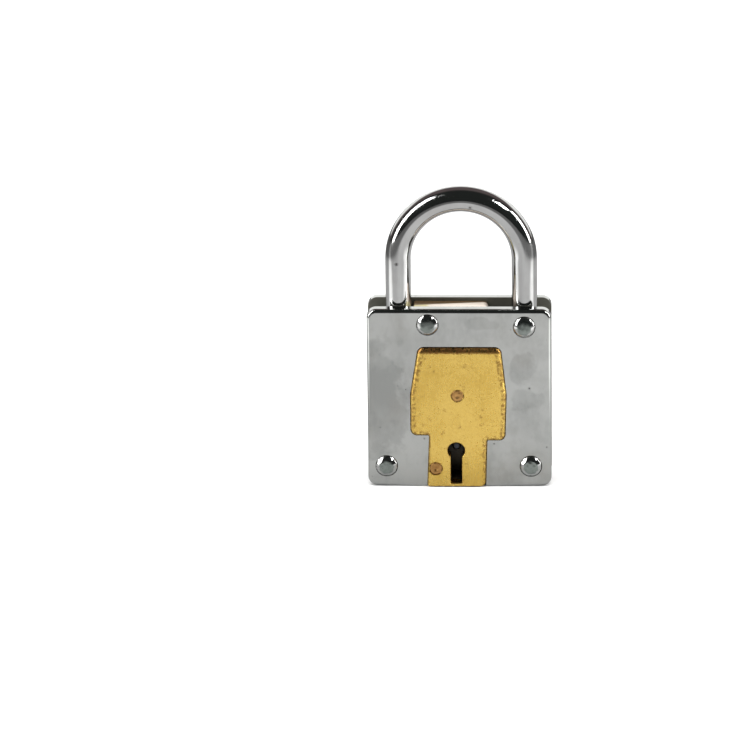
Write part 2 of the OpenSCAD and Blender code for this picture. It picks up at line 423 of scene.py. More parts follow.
class Graph:
    """Short calls for wiring one node tree."""

    def __init__(self, tree: bpy.types.NodeTree) -> None:
        """Work on this tree."""
        self.tree = tree

    def node(self, kind: str, **settings: object) -> bpy.types.Node:
        """Add a node of this kind and set its properties."""
        made = self.tree.nodes.new(kind)
        for name, value in settings.items():
            setattr(made, name, value)
        return made

    def feed(self, socket: Socket, value: object) -> None:
        """Link a socket into another, or set its plain value."""
        if isinstance(value, Socket):
            self.tree.links.new(value, socket)
        elif isinstance(value, tuple) and len(value) == 3 and socket.type == "RGBA":
            socket.default_value = (*value, 1.0)
        else:
            socket.default_value = value

    def math(self, operation: str, a: object, b: object = 0.0) -> Socket:
        """Result of one arithmetic step on two values."""
        made = self.node("ShaderNodeMath", operation=operation)
        self.feed(made.inputs[0], a)
        self.feed(made.inputs[1], b)
        return made.outputs[0]

    def plus(self, a: object, b: object) -> Socket:
        """Sum of two values."""
        return self.math("ADD", a, b)

    def times(self, a: object, b: object) -> Socket:
        """Product of two values."""
        return self.math("MULTIPLY", a, b)

    def blend(self, factor: object, a: object, b: object) -> Socket:
        """Colour that goes from a to b as the factor goes from 0 to 1."""
        made = self.node("ShaderNodeMix", data_type="RGBA")
        self.feed(made.inputs[0], factor)
        self.feed(made.inputs[6], a)
        self.feed(made.inputs[7], b)
        return made.outputs[2]

    def span(
        self, value: object, low: object, high: object, to_low: object = 0.0, to_high: object = 1.0
    ) -> Socket:
        """Value carried smoothly from the range low..high to the range to_low..to_high."""
        made = self.node("ShaderNodeMapRange", interpolation_type="SMOOTHSTEP")
        for socket, number in zip(made.inputs, (value, low, high, to_low, to_high)):
            self.feed(socket, number)
        return made.outputs[0]

    def fade(self, value: object, low: object, high: object) -> Socket:
        """Share that falls smoothly from 1 to 0 while the value goes from low to high."""
        return self.span(value, low, high, 1.0, 0.0)

    def place(self, scale: Colour = (1.0, 1.0, 1.0), turn: Colour = (0.0, 0.0, 0.0)) -> Socket:
        """The object's own coordinates, turned and stretched."""
        where = self.node("ShaderNodeTexCoord")
        mapping = self.node("ShaderNodeMapping")
        mapping.inputs["Scale"].default_value = scale
        mapping.inputs["Rotation"].default_value = turn
        self.feed(mapping.inputs["Vector"], where.outputs["Object"])
        return mapping.outputs["Vector"]

    def axes(self) -> list[Socket]:
        """X, Y and Z of the object's own coordinates."""
        parts = self.node("ShaderNodeSeparateXYZ")
        self.feed(parts.inputs[0], self.place())
        return list(parts.outputs)

    def rim(self) -> Socket:
        """Distance from the piece's rim, in millimetres."""
        return self.node("ShaderNodeAttribute", attribute_name="rim").outputs["Fac"]

    def noise(self, scale: object, detail: float = 3.0, rough: float = 0.55, where: object = None) -> Socket:
        """Cloudy value between 0 and 1 over the object or the given place; scale is in features per metre."""
        made = self.node("ShaderNodeTexNoise")
        self.feed(made.inputs["Vector"], where or self.place())
        self.feed(made.inputs["Scale"], scale)
        made.inputs["Detail"].default_value = detail
        made.inputs["Roughness"].default_value = rough
        return made.outputs["Fac"]


class Effect(Enum):
    """Surface effects that several finishes share, each a node group with inputs Scale and Amount."""

    CLOUDS = "cloudy_film"
    SCRATCHES = "fine_scratches"
    PITS = "small_pits"
    DENTS = "shallow_dents"

    def group(self) -> bpy.types.NodeTree:
        """The effect's node group, made on its first use."""
        made = bpy.data.node_groups.get(self.value)
        if made is not None:
            return made
        made = bpy.data.node_groups.new(self.value, "ShaderNodeTree")
        for name, value in (("Scale", 100.0), ("Amount", 1.0)):
            socket = made.interface.new_socket(name, in_out="INPUT", socket_type="NodeSocketFloat")
            socket.default_value = value
        made.interface.new_socket("Mask", in_out="OUTPUT", socket_type="NodeSocketFloat")
        graph = Graph(made)
        inputs = graph.node("NodeGroupInput").outputs
        makers = {
            Effect.CLOUDS: _clouds,
            Effect.SCRATCHES: _scratches,
            Effect.PITS: _pits,
            Effect.DENTS: _dents,
        }
        mask = graph.times(makers[self](graph, inputs["Scale"]), inputs["Amount"])
        graph.feed(graph.node("NodeGroupOutput").inputs["Mask"], mask)
        return made

    def use(self, graph: Graph, scale: float, amount: float) -> Socket:
        """Put the effect in a material.

        Args:
            graph: the material's tree.
            scale: features per metre.
            amount: strength of the mask.

        Returns:
            The mask's socket.
        """
        made = graph.node("ShaderNodeGroup", node_tree=self.group())
        made.inputs["Scale"].default_value = scale
        made.inputs["Amount"].default_value = amount
        return made.outputs["Mask"]


def _clouds(graph: Graph, scale: Socket) -> Socket:
    """Soft film left by wiping: broad clouds broken up by finer ones."""
    broad = graph.noise(scale, 2.0)
    fine = graph.noise(graph.times(scale, 3.7), 4.0, 0.6, graph.place((1.0, 1.0, 0.55)))
    mixed = graph.plus(graph.times(broad, 0.65), graph.times(fine, 0.35))
    return graph.span(mixed, 0.42, 0.66)


def _scratches(graph: Graph, scale: Socket) -> Socket:
    """Hair lines in four directions: each is a thin level line of a noise that is long one way."""
    lines: object = 0.0
    for number, turn in enumerate((0.25, 1.2, 2.1, 2.9)):
        where = graph.place((1.0, 1.0, 0.035), (0.3 * number, turn, 0.0))
        level = graph.math("ABSOLUTE", graph.math("SUBTRACT", graph.noise(scale, 1.0, where=where), 0.5))
        slow = graph.times(scale, 0.09 + 0.02 * number)
        breaks = graph.span(graph.noise(slow, 1.0), 0.5, 0.62)
        line = graph.times(graph.fade(level, 0.0, 0.012), breaks)
        lines = graph.math("MAXIMUM", lines, line)
    return lines


def _pits(graph: Graph, scale: Socket) -> Socket:
    """Scattered specks: the hearts of a few cells, chosen by each cell's own random colour."""
    cells = graph.node("ShaderNodeTexVoronoi")
    graph.feed(cells.inputs["Vector"], graph.place())
    graph.feed(cells.inputs["Scale"], scale)
    red = graph.node("ShaderNodeSeparateColor")
    graph.feed(red.inputs[0], cells.outputs["Color"])
    size = graph.times(graph.span(red.outputs[0], 0.78, 1.0), 0.22)
    heart = graph.fade(cells.outputs["Distance"], 0.0, size)
    return graph.times(heart, graph.span(red.outputs[0], 0.78, 0.8))


def _dents(graph: Graph, scale: Socket) -> Socket:
    """Slow waves of rolled or hammered metal."""
    return graph.noise(scale, 1.0, 0.4)


class Metal(Graph):
    """The wiring of one bare metal material."""

    def __init__(self, name: str) -> None:
        """Start a material of this name."""
        self.material = bpy.data.materials.new(name)
        self.material.use_nodes = True
        super().__init__(self.material.node_tree)
        self.shader = self.tree.nodes["Principled BSDF"]
        self.shader.inputs["Metallic"].default_value = 1.0

    def bump(self, height: object, distance: float, strength: float = 1.0, after: object = None) -> Socket:
        """Normal of an uneven surface.

        Args:
            height: the unevenness, between 0 and 1.
            distance: its depth in metres.
            strength: share of it that is used.
            after: normal that it comes on top of, or None for the smooth surface's.

        Returns:
            The normal's socket.
        """
        made = self.node("ShaderNodeBump")
        made.inputs["Distance"].default_value = distance
        made.inputs["Strength"].default_value = strength
        self.feed(made.inputs["Height"], height)
        if after is not None:
            self.feed(made.inputs["Normal"], after)
        return made.outputs["Normal"]

    def worn(self, waves: object, marks: object, depth: float, strength: float) -> Socket:
        """Normal of metal with marks sunk into it, on top of the normal of its waves."""
        return self.bump(self.times(marks, -1.0), depth, strength, waves)

    def finish(self, colour: object, rough: object, normal: object) -> bpy.types.Material:
        """The material, once its shader has this colour, roughness and normal."""
        for name, value in (("Base Color", colour), ("Roughness", rough), ("Normal", normal)):
            self.feed(self.shader.inputs[name], value)
        return self.material


def tint(colour: Colour, factors: Colour) -> Colour:
    """The colour with each channel multiplied by its factor."""
    return tuple(value * factor for value, factor in zip(colour, factors))


@dataclass(frozen=True)
class Chrome:
    """Bright plating with a wiped film, hair scratches and a few pits, and, where patches are given, painted
    shade on the front.

    Attributes:
        name: the material's name.
        tone: colour of the clean plating.
        film: colour where the film lies.
        gloss: roughness of the clean plating.
        waves: depth of the slow waves in the metal, in metres.
        wave_scale: waves per metre.
        specks: strength of the pits.
        speck_scale: pits' cells per metre.
        film_and_shade_patches: darker patches on the front, wiped film that also stands for painted shade
            there, each as (x, z, half width, half height, strength), in metres.
        front: depths between which the patches fade out behind the front, in metres.
        inside: distance from the middle plane within which the metal is dull with old grease, in metres.
        inner_dark: colour of the grease.
        pit: colour in the pits.
    """

    name: str
    tone: Colour = (0.515, 0.525, 0.508)
    film: Colour = (0.355, 0.365, 0.352)
    gloss: float = 0.05
    waves: float = 2.0e-6
    wave_scale: float = 130.0
    specks: float = 0.8
    speck_scale: float = 420.0
    film_and_shade_patches: tuple[tuple[float, float, float, float, float], ...] = ()
    front: tuple[float, float] = (-0.004, -0.003)
    inside: float = 0.0
    inner_dark: Colour = (0.12, 0.117, 0.095)
    pit: Colour = (0.10, 0.095, 0.09)

    def film_and_shade(self, graph: Graph) -> Socket:
        """How dark the front is painted: the strongest of the patches of film and painted shade, each with a
        soft and wavering border.
        """
        side, depth, height = graph.axes()
        waver = graph.span(graph.noise(170.0, 4.0), 0.2, 0.8, -0.8, 0.8)
        # worn gathers the patches: painted shade mixed with wiped film
        worn: object = 0.0
        for x, z, half_width, half_height, strength in self.film_and_shade_patches:
            across = graph.math("DIVIDE", graph.math("SUBTRACT", side, x), half_width)
            up = graph.math("DIVIDE", graph.math("SUBTRACT", height, z), half_height)
            far = graph.plus(graph.math("POWER", across, 2.0), graph.math("POWER", up, 2.0))
            far = graph.plus(far, waver)
            worn = graph.math("MAXIMUM", worn, graph.span(far, 0.6, 1.2, strength, 0.0))
        return graph.times(worn, graph.fade(depth, *self.front))

    def material(self) -> bpy.types.Material:
        """Build the material."""
        graph = Metal(self.name)
        clouds = graph.plus(Effect.CLOUDS.use(graph, 48.0, 0.5), Effect.CLOUDS.use(graph, 230.0, 0.3))
        # The patches add painted shade on the front to the wiped film.
        clouds = graph.plus(clouds, self.film_and_shade(graph))
        scratches = Effect.SCRATCHES.use(graph, 900.0, 0.8)
        pits = Effect.PITS.use(graph, self.speck_scale, self.specks)
        warm = graph.span(graph.noise(60.0, 2.0), 0.45, 0.7)
        film = graph.blend(warm, self.film, tint(self.film, (1.03, 1.0, 0.98)))
        colour = graph.blend(clouds, self.tone, film)
        colour = graph.blend(pits, colour, self.pit)
        rough = graph.plus(self.gloss, graph.times(clouds, 0.07))
        rough = graph.plus(rough, graph.times(scratches, 0.12))
        if self.inside:
            depth = graph.math("ABSOLUTE", graph.axes()[1])
            dull = graph.fade(depth, self.inside, self.inside + 0.0001)
            colour = graph.blend(dull, colour, self.inner_dark)
            rough = graph.plus(rough, graph.times(dull, 0.4))
            graph.feed(graph.shader.inputs["Metallic"], graph.span(dull, 0.0, 1.0, 1.0, 0.2))
        rough = graph.plus(rough, graph.times(pits, 0.4))
        waves = graph.bump(Effect.DENTS.use(graph, self.wave_scale, 1.0), self.waves)
        marks = graph.plus(graph.times(scratches, 0.15), pits)
        return graph.finish(colour, rough, graph.worn(waves, marks, 4.0e-5, 0.6))


@dataclass(frozen=True)
class Brass:
    """Yellow brass, rubbed bright in places, with brown tarnish at its rim and in spots, and, where head is
    set, painted brown shade along its top edge.

    Attributes:
        name: the material's name.
        bright: colour of the rubbed metal.
        deep: colour of the duller metal.
        tarnish_and_shade: colour of the tarnish, and of the painted shade along the top edge where head is
            set.
        gloss: roughness of the rubbed metal.
        rim_width: reach of the tarnish from the rim, in millimetres, or 0 for none there.
        spots: strength of the tarnish spots.
        head: height above which the rim is painted brown all along as shade, in metres, or 0 for nowhere.
    """

    name: str
    bright: Colour = (0.91, 0.635, 0.165)
    deep: Colour = (0.74, 0.48, 0.095)
    tarnish_and_shade: Colour = (0.30, 0.14, 0.045)
    gloss: float = 0.24
    rim_width: float = 0.75
    spots: float = 0.8
    head: float = 0.0

    def material(self) -> bpy.types.Material:
        """Build the material."""
        graph = Metal(self.name)
        wide = graph.span(graph.noise(65.0, 2.0), 0.35, 0.65, 0.0, 0.3)
        patches = graph.plus(Effect.CLOUDS.use(graph, 110.0, 0.32), Effect.CLOUDS.use(graph, 1100.0, 0.22))
        patches = graph.plus(patches, wide)
        scratches = Effect.SCRATCHES.use(graph, 1300.0, 1.0)
        pits = Effect.PITS.use(graph, 900.0, self.spots)
        colour = graph.blend(patches, self.bright, self.deep)
        rim = graph.rim()
        broken = graph.span(graph.noise(1200.0, 5.0, 0.65), 0.44, 0.60)
        blotch = graph.span(graph.noise(480.0, 6.0, 0.7), 0.59, 0.72, 0.0, 0.7 * self.spots)
        stains_and_top_shade = graph.math("MAXIMUM", blotch, pits)
        if self.rim_width:
            near = graph.times(graph.fade(rim, 0.0, self.rim_width), broken)
            stains_and_top_shade = graph.math("MAXIMUM", stains_and_top_shade, graph.times(near, 0.75))
        crust = stains_and_top_shade
        # Painted shade: a brown band along the rounded top edge, in the colour only.
        if self.head:
            high = graph.span(graph.axes()[2], self.head, self.head + 0.0006)
            low = graph.span(broken, 0.0, 1.0, 0.75, 1.0)
            edge = graph.times(graph.fade(rim, 0.15, 0.5), low)
            stains_and_top_shade = graph.math("MAXIMUM", stains_and_top_shade, graph.times(high, edge))
        colour = graph.blend(stains_and_top_shade, colour, self.tarnish_and_shade)
        rough = graph.plus(self.gloss, graph.times(patches, 0.08))
        rough = graph.plus(rough, graph.times(scratches, -0.06))
        rough = graph.plus(rough, graph.times(crust, 0.25))
        waves = graph.bump(Effect.DENTS.use(graph, 260.0, 1.0), 1.2e-5)
        marks = graph.plus(graph.times(scratches, 0.5), crust)
        return graph.finish(colour, rough, graph.worn(waves, marks, 3.0e-5, 0.7))


@dataclass(frozen=True)
class CaseSheet:
    """Dull pale sheet brass of the lock case: yellow at one end of its top, brown at the back, and painted
    dark below as shade inside the lock.

    Attributes:
        name: the material's name.
        pale: colour of the top.
        yellow: colour of its bright end.
        brown: colour of the back part of the top, behind a slanting line.
        inner_dark: colour of the lower part, painted dark as shade inside the lock.
        bright_to: X at which the bright end stops, in metres.
        brown_from: Y at which the brown part begins where X is 0, in metres.
        slant: slope of the line where it begins.
        shade_from: height below which the painted shade begins, in metres.
        end_blur: half the width of the border of the bright end, in metres.
        line_blur: half the width of the slanting line, in metres.
        shade_blur: height over which the painted shade sets in, in metres.
        metallic: how metallic the sheet looks.
    """

    name: str
    pale: Colour = (0.86, 0.76, 0.66)
    yellow: Colour = (0.66, 0.58, 0.28)
    brown: Colour = (0.16, 0.10, 0.05)
    inner_dark: Colour = (0.06, 0.05, 0.035)
    bright_to: float = -0.0085
    brown_from: float = 0.0018
    slant: float = 0.13
    shade_from: float = 0.0465
    end_blur: float = 0.0008
    line_blur: float = 0.0003
    shade_blur: float = 0.003
    metallic: float = 0.35

    def material(self) -> bpy.types.Material:
        """Build the material."""
        graph = Metal(self.name)
        graph.shader.inputs["Metallic"].default_value = self.metallic
        x, y, z = graph.axes()
        clouds = Effect.CLOUDS.use(graph, 260.0, 0.35)
        end = graph.fade(x, self.bright_to - self.end_blur, self.bright_to + self.end_blur)
        colour = graph.blend(end, self.pale, self.yellow)
        colour = graph.blend(clouds, colour, tint(self.pale, (0.8, 0.8, 0.8)))
        slant = graph.math("SUBTRACT", y, graph.times(x, self.slant))
        rear = graph.span(slant, self.brown_from - self.line_blur, self.brown_from + self.line_blur)
        colour = graph.blend(rear, colour, self.brown)
        # Painted shade: the case is coloured dark below shade_from, deep inside the lock.
        shaded_below = graph.fade(z, self.shade_from - self.shade_blur, self.shade_from)
        colour = graph.blend(shaded_below, colour, self.inner_dark)
        grain = graph.noise(1800.0, where=graph.place((1.0, 1.0, 0.08)))
        rough = graph.span(grain, 0.3, 0.7, 0.3, 0.42)
        return graph.finish(colour, rough, graph.bump(grain, 1.5e-5, 0.5))


@dataclass(frozen=True)
class Steel:
    """Plain machined or drawn steel with a fine grain along one axis.

    Attributes:
        name: the material's name.
        tone: colour of the metal.
        gloss: roughness between the grain lines.
        grain: how the grain is stretched along X, Y and Z.
        rust: colour in the pits.
    """

    name: str
    tone: Colour = (0.42, 0.42, 0.41)
    gloss: float = 0.3
    grain: Colour = (1.0, 1.0, 0.05)
    rust: Colour = (0.08, 0.06, 0.05)

    def material(self) -> bpy.types.Material:
        """Build the material."""
        graph = Metal(self.name)
        grain = graph.noise(2500.0, where=graph.place(self.grain))
        clouds = Effect.CLOUDS.use(graph, 180.0, 0.8)
        pits = Effect.PITS.use(graph, 800.0, 0.6)
        dark = tint(self.tone, (0.62, 0.62, 0.62))
        colour = graph.blend(graph.times(grain, 0.5), self.tone, dark)
        colour = graph.blend(graph.times(clouds, 0.5), colour, tint(dark, (1.05, 0.96, 0.88)))
        colour = graph.blend(pits, colour, self.rust)
        rough = graph.plus(self.gloss, graph.times(grain, 0.2))
        return graph.finish(colour, rough, graph.bump(graph.math("SUBTRACT", grain, pits), 1.5e-5, 0.5))


@dataclass(frozen=True)
class Hammered:
    """Chrome on a rivet head: rougher on top with painted dark reflection there, bright on the bevel, and
    with painted shade where the head meets the plate, and dark pits.

    Attributes:
        name: the material's name.
        bevel: colour of the bright bevel.
        top: colour of the top, painted darker than the bevel as dark reflection.
        rim_shade_and_pit_colour: colour of the painted shade round the rim and of the pits.
        top_from: distance from the rim at which the darker, rougher top begins, in millimetres.
        rim_shade_to: distance from the rim to which the painted shade reaches, in millimetres.
    """

    name: str
    bevel: Colour = (0.47, 0.475, 0.465)
    top: Colour = (0.27, 0.30, 0.28)
    rim_shade_and_pit_colour: Colour = (0.035, 0.035, 0.03)
    top_from: float = 1.05
    rim_shade_to: float = 0.22

    def material(self) -> bpy.types.Material:
        """Build the material."""
        graph = Metal(self.name)
        rim = graph.rim()
        uneven = graph.noise(1400.0)
        rim = graph.plus(rim, graph.span(uneven, 0.3, 0.7, -0.15, 0.15))
        top = graph.span(rim, self.top_from - 0.12, self.top_from + 0.12)
        clouds = Effect.CLOUDS.use(graph, 900.0, 0.5)
        pits = Effect.PITS.use(graph, 900.0, 0.7)
        # Painted dark reflection: the top is coloured darker than the bevel, varied by clouds.
        dull = graph.blend(clouds, self.top, tint(self.top, (0.7, 0.7, 0.7)))
        colour = graph.blend(top, self.bevel, dull)
        # Painted shade in a ring where the head meets the plate, together with the dark pits.
        rim_shade_and_pits = graph.math("MAXIMUM", graph.fade(rim, self.rim_shade_to - 0.1, self.rim_shade_to + 0.1), pits)
        colour = graph.blend(rim_shade_and_pits, colour, self.rim_shade_and_pit_colour)
        rough = graph.plus(graph.span(top, 0.0, 1.0, 0.09, 0.22), graph.times(rim_shade_and_pits, 0.3))
        rough = graph.plus(rough, graph.times(clouds, 0.05))
        dents = graph.bump(Effect.DENTS.use(graph, 900.0, 1.0), 6.0e-6)
        return graph.finish(colour, rough, graph.worn(dents, rim_shade_and_pits, 3.0e-5, 0.6))


# ---------------------------------------------------------------- finish of each material slot


FINISHES = {
    "plate_chrome": Chrome(
        "wiped_plate",
        # Darker patches on the front: painted shade mixed with wiped film.
        film_and_shade_patches=(
            (-0.0225, 0.026, 0.0085, 0.017, 0.55),
            (0.0175, 0.034, 0.0035, 0.0045, 0.45),
            (0.0180, 0.0245, 0.0045, 0.0035, 0.35),
            (0.0060, 0.0470, 0.0050, 0.0020, 0.35),
        ),
        inside=0.00371,
    ),
    "shackle_chrome": Chrome(
        "polished_rod",
        tone=(0.53, 0.535, 0.53),
        film=(0.43, 0.43, 0.425),
        gloss=0.06,
        waves=2.2e-5,
        wave_scale=170.0,
        specks=1.0,
        speck_scale=300.0,
    ),
    "rivet_chrome": Hammered("hammered_head"),
    "strip_steel": Steel("drawn_strip"),
    "escutcheon_brass": Brass("rubbed_brass", head=0.0383),
    "case_brass": CaseSheet("dull_case"),
    "post_copper": Brass(
        "peened_copper",
        bright=(0.60, 0.34, 0.12),
        deep=(0.40, 0.20, 0.065),
        tarnish_and_shade=(0.09, 0.04, 0.015),
        gloss=0.3,
        rim_width=0.5,
        spots=1.0,
    ),
    "lever_brass": Brass(
        # The levers' brass is painted dark brown as shade inside the lock, and rough as with grease.
        "greasy_shaded_lever",
        bright=(0.30, 0.21, 0.09),
        deep=(0.20, 0.14, 0.06),
        tarnish_and_shade=(0.06, 0.04, 0.02),
        gloss=0.4,
        rim_width=0.0,
        spots=0.4,
    ),
    "bolt_steel": Steel("bolt_bar", (0.50, 0.48, 0.44), 0.32, (0.05, 1.0, 1.0)),
    "pin_steel": Steel("turned_pin", (0.09, 0.10, 0.125), 0.34, (1.0, 0.05, 1.0)),
    "spring_steel": Steel("blued_spring", (0.28, 0.30, 0.36), 0.25, (1.0, 0.05, 1.0)),
}


def dress(piece: Piece, slot: str) -> Piece:
    """Give a piece the finish of a material slot, in place of what it has.

    Args:
        piece: the piece.
        slot: the record's material slot.

    Returns:
        The same piece.
    """
    piece.data.materials.clear()
    finish = FINISHES[slot]
    piece.data.materials.append(bpy.data.materials.get(finish.name) or finish.material())
    LOG.info("%s: dressed in %s", piece.name, finish.name)
    return piece


# ---------------------------------------------------------------- sub-assemblies


@dataclass
class Window:
    """The opening in the front plate and the brass plate that fills it, as places in X and Z.

    Attributes:
        top: half-widths and height of the upper edge, as (left, right, z).
        waist: the same where the slanting sides end.
        shoulder_left: left side and height of the left shoulder.
        shoulder_right: right side and height of the right shoulder.
        stem_top: left and right side of the stem at the shoulders.
        stem_foot: left and right side of the stem at the bottom.
    """

    top: tuple[float, float, float] = (-11.1, 11.3, 40.3)
    waist: tuple[float, float, float] = (-13.3, 12.8, 26.6)
    shoulder_left: tuple[float, float] = (-13.3, 14.9)
    shoulder_right: tuple[float, float] = (12.4, 13.5)
    stem_top: tuple[float, float] = (-8.2, 7.5)
    stem_foot: tuple[float, float] = (-8.8, 7.1)

    def corners(self, shrink: float, bottom: float) -> list[tuple[float, float]]:
        """Corners of the opening, clockwise from the left foot.

        Args:
            shrink: how far every side but the bottom moves in.
            bottom: height of the bottom edge.

        Returns:
            Ten corners: two feet, four at the shoulders, two at the waist and two at the top.
        """
        s = shrink
        return [
            (self.stem_foot[0] + s, bottom),
            (self.stem_top[0] + s, self.shoulder_left[1] + s),
            (self.shoulder_left[0] + s, self.shoulder_left[1] + s),
            (self.waist[0] + s, self.waist[2]),
            (self.top[0] + s, self.top[2] - s),
            (self.top[1] - s, self.top[2] - s),
            (self.waist[1] - s, self.waist[2]),
            (self.shoulder_right[0] - s, self.shoulder_right[1] + s),
            (self.stem_top[1] - s, self.shoulder_right[1] + s),
            (self.stem_foot[1] - s, bottom),
        ]


@dataclass
class Plates:
    """The two chromed plates and the steel strips that close the gap between them.

    Attributes:
        window: the opening in the front plate.
        corner: radius of the plates' corners.
        soft_edge: radius of the outer edges.
        window_edge: radius of the window's edge.
        hole: radius of the rivet holes.
        strip: thickness of the side strips.
        strip_bend: outer radius of the strips' bend.
        strip_edge: radius of the strips' edges.
        foot: height of the part above the bottom where the front edge rounds off the window's mouth.
    """

    window: Window
    corner: float = 2.6
    soft_edge: float = 1.0
    window_edge: float = 0.14
    hole: float = 1.65
    strip: float = 1.2
    strip_bend: float = 1.8
    strip_edge: float = 0.12
    foot: float = 0.35

    def rivet_holes(self) -> list[tuple[Array, float, float]]:
        """One loop for each rivet hole, with the radius of its edge and the room round it."""
        places = [centre_mm(name) for name in RIVETS]
        return [(circle((place[0], place[2]), self.hole, 40), 0.1, 1.0) for place in places]

    def rear(self) -> Piece:
        """The plain rear plate."""
        low, high = box_mm("rear_plate")
        corners = [(low[0], low[2]), (high[0], low[2]), (high[0], high[2]), (low[0], high[2])]
        outline = rounded_outline(corners, [self.corner] * 4, 16)
        slab = Slab(outline, low[1], high[1], self.soft_edge, holes=self.rivet_holes())
        return slab.build("rear_cover", "rear_plate", "plate_chrome")

    def front(self) -> Piece:
        """The front plate. Its outline runs round the outside and in round the window."""
        low, high = box_mm("front_plate")
        outer = [(high[0], low[2]), (high[0], high[2]), (low[0], high[2]), (low[0], low[2])]
        corners = outer + self.window.corners(0.0, low[2])
        radii = [self.corner] * 4 + [0.3, 0.5, 1.8, 5.0, 1.8, 1.8, 5.0, 1.6, 0.5, 0.3]
        outline = rounded_outline(corners, radii, 16)
        x, z = outline.T
        round_window = (np.abs(x) < 0.6 * high[0]) & (z < 0.9 * high[2])
        at_foot = z < low[2] + self.foot
        edge = np.where(round_window & ~at_foot, self.window_edge, self.soft_edge)
        from_mouth = np.abs(x[:, None] - np.array(self.window.stem_foot)).min(1)
        edge = np.where(at_foot, np.clip(from_mouth * 0.9, self.window_edge, self.soft_edge), edge)
        slab = Slab(outline, high[1], low[1], edge, holes=self.rivet_holes())
        return slab.build("front_cover", "front_plate", "plate_chrome")

    def strip_piece(self, node: str) -> Piece:
        """One bent strip, from its top end down the side, round the corner and in to the lock case.

        Args:
            node: the CAD node that gives the strip's place.

        Returns:
            The strip.
        """
        low, high = box_mm(node)
        side = 1 if low[0] + high[0] > 0 else -1
        far, near = (high[0], low[0]) if side > 0 else (low[0], high[0])
        t = side * self.strip
        corners = [(far, high[2]), (far, low[2]), (near, low[2]), (near, low[2] + self.strip)]
        corners += [(far - t, low[2] + self.strip), (far - t, high[2])]
        inner_bend = self.strip_bend - self.strip + 0.2
        outline = rounded_outline(corners, [0.15, self.strip_bend, 0.15, 0.15, inner_bend, 0.15], 8)
        return Slab(outline, high[1], low[1], self.strip_edge).build(f"{node}_bent", node, "strip_steel")

    def build(self) -> list[Piece]:
        """Both plates and both strips."""
        strips = [self.strip_piece(node) for node in ("side_strip_left", "side_strip_right")]
        return [self.front(), self.rear(), *strips]


